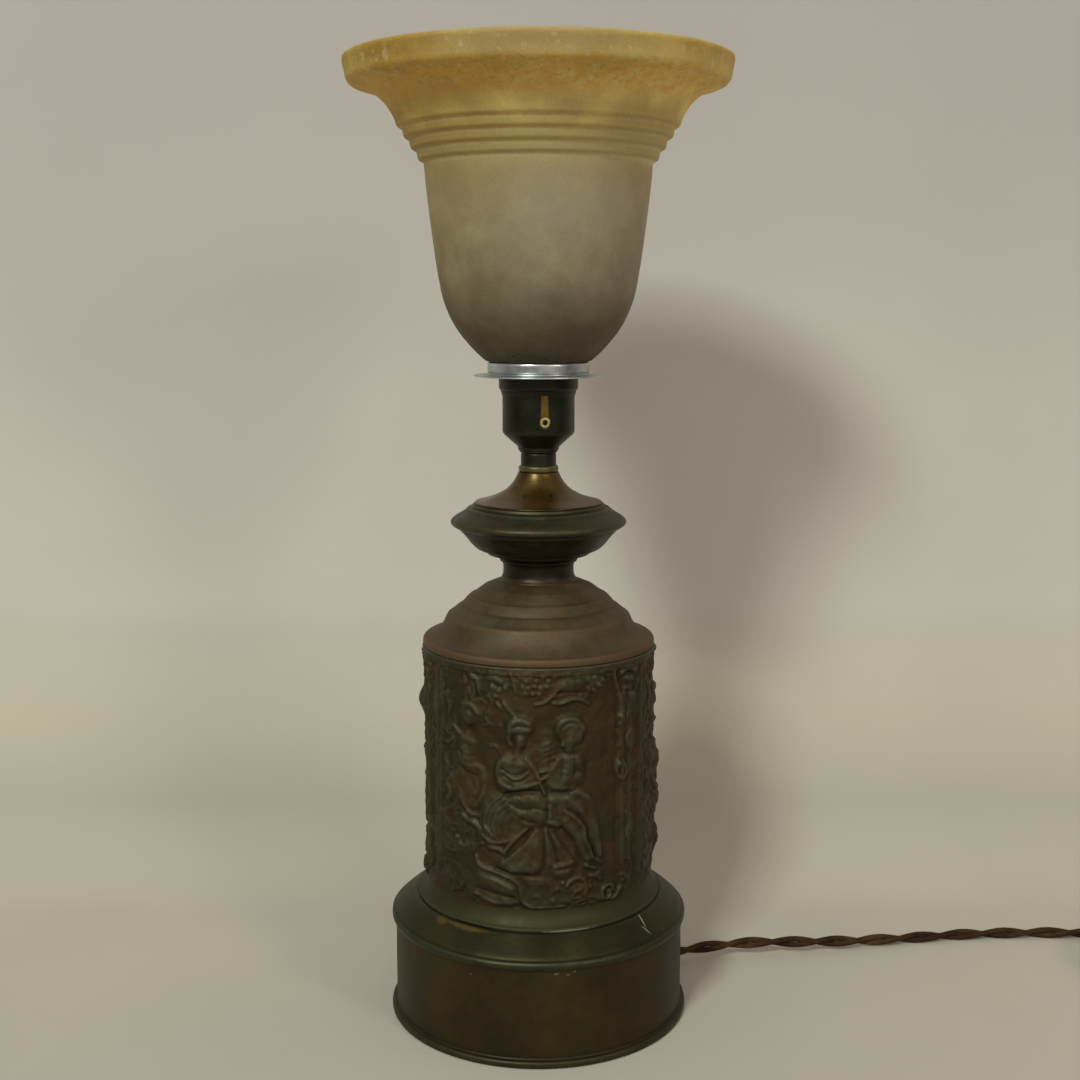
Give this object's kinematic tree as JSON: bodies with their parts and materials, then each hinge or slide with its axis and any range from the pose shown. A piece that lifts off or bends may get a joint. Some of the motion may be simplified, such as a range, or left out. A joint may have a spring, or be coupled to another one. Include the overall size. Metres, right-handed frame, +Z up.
{
  "type": "figural table lamp",
  "caption": "Table lamp: round two-step base, embossed drum with figures, stepped dome and turned neck, socket with a keyhole slot, and a flared glass torch shade.",
  "frame": {"origin": "centre of the felt pad's underside, on the lamp's axis", "axes": "+Z up along the lamp's axis, the front with the seated lady and her companion faces -Y, and the cord leaves at the right towards +X"},
  "size_m": [0.534, 0.1996, 0.508],
  "materials": {
    "base_bronze": "dull brown patina, rubbed and spotted",
    "cover_bronze": "dull green-grey patina",
    "drum_bronze": "dark brown patina with green-grey highlights on the relief",
    "dome_copper": "brown copper with olive patina and a redder rim",
    "neck_bronze": "near-black brown patina, satin",
    "saucer_bronze": "dark green patina, brown in the hollows",
    "cap_brass": "brown brass, satin",
    "check_brass": "worn bright brass",
    "husk_bronze": "near-black olive bronze, satin",
    "socket_brass": "plain brass",
    "spindle_brass": "worn brass",
    "holder_aluminium": "spun, satin",
    "steel": "plain",
    "iron": "rough",
    "felt": "green wool felt",
    "liner_card": "vulcanised fibre",
    "insulator_porcelain": "glazed porcelain",
    "bushing_black": "black",
    "cord_cloth": "brown braided cloth over two twisted wires",
    "plug_brown": "brown bakelite",
    "shade_glass": "matte granular glass, amber at the rim and grey below",
    "bulb_glass": "frosted",
    "bulb_metal": "bright",
    "stem_glass": "clear",
    "filament": "tungsten"
  },
  "bodies": {
    "lamp": {"ballast_disc": "iron", "base_cover": "cover_bronze", "base_shell": "base_bronze", "bottom_plate": "steel", "centre_contact": "socket_brass", "check_ring": "check_brass", "cord_bushing": "bushing_black", "cord_coil": "cord_cloth", "cord_lead": "cord_cloth", "cord_tail": "cord_cloth", "dome_cover": "dome_copper", "drum_shell": "drum_bronze", "felt_pad": "felt", "inner_cord": "cord_cloth", "insulating_liner": "liner_card", "lamp_pipe": "steel", "neck_bowl": "neck_bronze", "neck_cap": "cap_brass", "neck_coupling": "husk_bronze", "neck_saucer": "saucer_bronze", "neck_spool": "neck_bronze", "pipe_nut": "steel", "pipe_washer": "steel", "plug_blades": "socket_brass", "plug_body": "plug_brown", "screw_shell": "socket_brass", "shade_holder": "holder_aluminium", "socket_cap": "socket_brass", "socket_husk": "husk_bronze", "socket_insulator": "insulator_porcelain", "socket_shell": "socket_brass", "terminal_screws": "socket_brass"},
    "switch": {"switch_spindle": "spindle_brass"},
    "shade": {"glass_shade": "shade_glass"},
    "ring": {"shade_ring": "socket_brass"},
    "bulb": {"bulb_envelope": "bulb_glass", "bulb_base": "bulb_metal", "bulb_contact": "bulb_metal", "bulb_stem": "stem_glass", "bulb_filament": "filament"}
  },
  "joints": [
    {"name": "switch_turn", "type": "hinge", "parent": "lamp", "child": "switch", "pos_m": [0.00279, -0.01474, 0.3245], "axis": [0.1857, -0.9826, 0], "continuous": true},
    {"name": "shade_lift", "type": "slide", "parent": "lamp", "child": "shade", "axis": [0, 0, 1], "range_m": [0, 0.06]},
    {"name": "ring_lift", "type": "slide", "parent": "shade", "child": "ring", "axis": [0, 0, 1], "range_m": [0, 0.16]},
    {"name": "bulb_lift", "type": "slide", "parent": "ring", "child": "bulb", "axis": [0, 0, 1], "range_m": [0, 0.18]}
  ]
}
